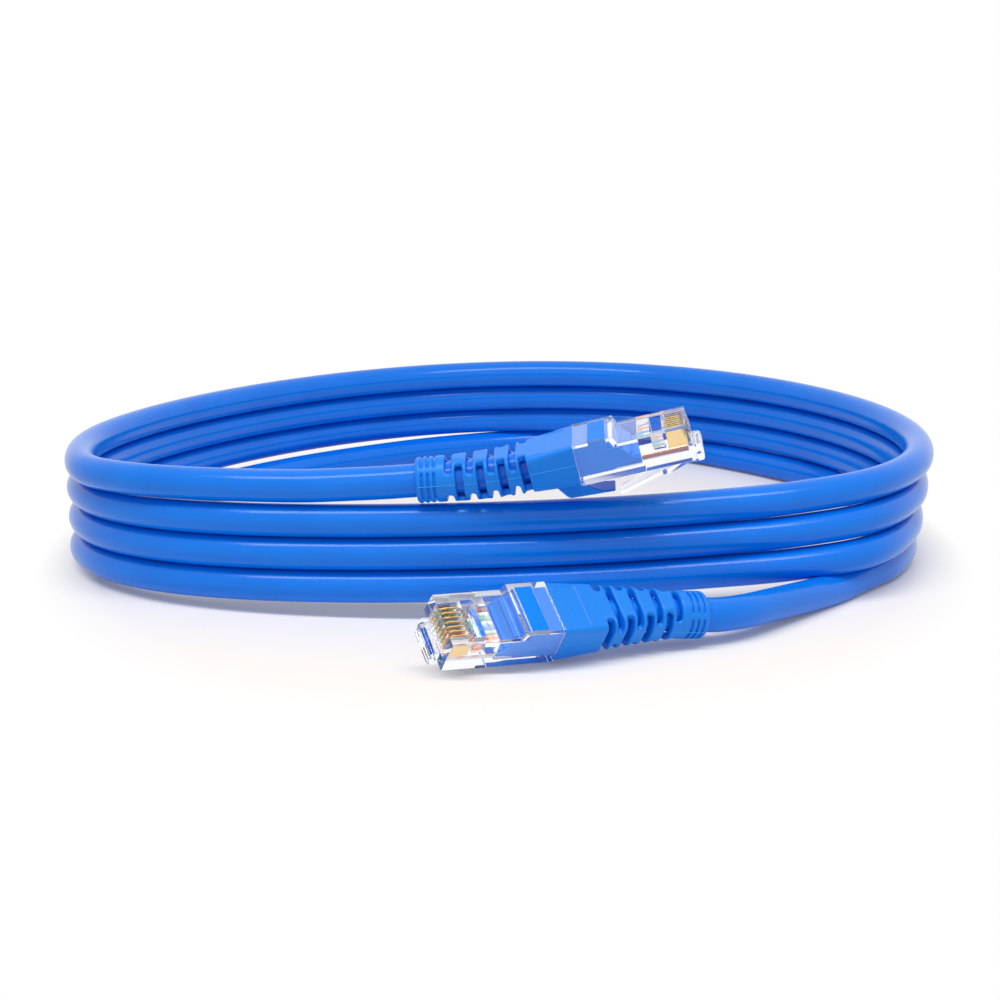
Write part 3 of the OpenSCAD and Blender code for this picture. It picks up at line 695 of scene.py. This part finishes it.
def make_stage():
    """A white floor, which keeps the object's soft shadow and fades to plain white round it."""
    half = FLOOR_HALF
    corners = [(-half, -half, 0), (half, -half, 0), (half, half, 0), (-half, half, 0)]
    mesh = bpy.data.meshes.new("floor")
    mesh.from_pydata(corners, [], [(0, 1, 2, 3)])
    floor = bpy.data.objects.new("floor", mesh)
    bpy.context.scene.collection.objects.link(floor)
    material = bpy.data.materials.new("floor_white")
    material.use_nodes = True
    tree = material.node_tree
    tree.nodes.clear()
    output = tree.nodes.new("ShaderNodeOutputMaterial")
    diffuse = tree.nodes.new("ShaderNodeBsdfDiffuse")
    diffuse.inputs["Color"].default_value = (*FLOOR_WHITE, 1)
    glow = tree.nodes.new("ShaderNodeEmission")
    glow.inputs["Strength"].default_value = 1.0
    oval = tree.nodes.new("ShaderNodeVectorMath")
    oval.operation = "MULTIPLY"
    oval.inputs[1].default_value = OVAL
    length = tree.nodes.new("ShaderNodeVectorMath")
    length.operation = "DISTANCE"
    length.inputs[1].default_value = Vector(OVAL_MIDDLE) * MM * Vector(OVAL)
    fade = tree.nodes.new("ShaderNodeMapRange")
    for key, value in FADE.items():
        fade.inputs[key].default_value = value
    tree.links.new(object_place(tree), oval.inputs[0])
    tree.links.new(oval.outputs["Vector"], length.inputs[0])
    tree.links.new(length.outputs["Value"], fade.inputs["Value"])
    share = math_node(tree, "MULTIPLY", fade.outputs["Result"], seen_directly(tree))
    mix_shaders(tree, share, diffuse.outputs["BSDF"], glow.outputs["Emission"], output)
    mesh.materials.append(material)


def white_sky(tree, strength):
    """A white background of some strength."""
    node = tree.nodes.new("ShaderNodeBackground")
    node.inputs["Color"].default_value = (1, 1, 1, 1)
    node.inputs["Strength"].default_value = strength
    return node.outputs["Background"]


def make_light():
    """A world that fills the shade and looks white, and two soft lamps."""
    world = bpy.data.worlds.new("studio")
    bpy.context.scene.world = world
    world.use_nodes = True
    tree = world.node_tree
    tree.nodes.clear()
    output = tree.nodes.new("ShaderNodeOutputWorld")
    fill, white = white_sky(tree, WORLD_FILL), white_sky(tree, 1.0)
    mix_shaders(tree, seen_directly(tree), fill, white, output)
    for name, at, tilt, size, watts in LAMPS:
        data = bpy.data.lights.new(name, "AREA")
        data.shape = "RECTANGLE"
        data.size, data.size_y = size
        data.energy = watts
        lamp = bpy.data.objects.new(name, data)
        lamp.location, lamp.rotation_euler = at, (radians(tilt), 0, 0)
        bpy.context.scene.collection.objects.link(lamp)


# ---------------------------------------------------------------- the cable

def make_cord():
    """The cord as one round tube, flat where it would sink in the table."""
    line = smooth_line(cord_route(), CORD_STEP)
    points, faces = tube_mesh(line, CORD_R)
    points[:, 2] = np.maximum(points[:, 2], 0)
    cord = new_piece(
        "cord", points * MM, faces, JACKET, "root", ["cable_lead_a", "cable_coil", "cable_lead_b"],
    )


def make_plug(side):
    """The pieces of one plug. Its wires keep the CAD model's shape."""
    make_boot(side)
    make_seam(side)
    along = np.arange(PLUG_L + JACKET_FRONT, BOOT_L, JACKET_STEP)
    line = to_row(side, on_boot(side, along, 0, 0)) / MM
    points, faces = tube_mesh(line, JACKET_R)
    new_piece(
        f"jacket_end_{side}_drawn", points * MM, faces, JACKET, "root", [f"jacket_end_{side}"],
    )
    softened(f"housing_{side}", f"housing_{side}_clear", CLEAR, "root")
    softened(f"latch_{side}", f"latch_{side}_clear", CLEAR, f"latch_{side}")
    softened(f"insert_{side}", f"insert_{side}_moulded", INSERT, "root")
    for pin, wire_slot in zip(range(1, PINS + 1), WIRE_SLOTS):
        contact = f"contact_{side}{pin}"
        softened(contact, f"{contact}_gold", GOLD, "root")
        wire = frame["nodes"][f"wire_{side}{pin}"]
        wire.data.materials.clear()
        wire.data.materials.append(WIRES[wire_slot])


bpy.context.scene.view_settings.view_transform = "Standard"
make_camera()
JACKET = plastic(
    "jacket_blue", low=(0.0, 0.175, 0.78), high=(0.0, 0.195, 0.84),
    rough=0.19, rough_span=0.03, grain=1200, depth=0.00001,
)
# A lighter copy of the boot's blue for the parting line: a painted highlight along its ridge, which is the same
# plastic as the boot.
SEAM_HIGHLIGHT = plastic(
    "seam_highlight_blue", low=(0.01, 0.32, 0.9), high=(0.02, 0.36, 0.95),
    rough=0.34, rough_span=0.05, grain=1800, depth=0.00001,
)
BOOT = plastic(
    "boot_blue", low=(0.003, 0.21, 0.8), high=(0.005, 0.23, 0.86),
    rough=0.34, rough_span=0.05, grain=1800, depth=0.00002,
)
INSERT = plastic(
    "insert_blue", low=(0.003, 0.22, 0.84), high=(0.005, 0.24, 0.9),
    rough=0.34, rough_span=0.05, grain=1500, depth=0.00002, shine=0.1,
)
CLEAR = clear_plastic("clear")
GOLD = metal("gold_plating", low=(1.0, 0.66, 0.24), high=(1.0, 0.76, 0.36))
WIRES = {slot: wire_material(slot) for slot in WIRE_SLOTS}
make_cord()
for plug_side in SIDES:
    make_plug(plug_side)
make_stage()
make_light()
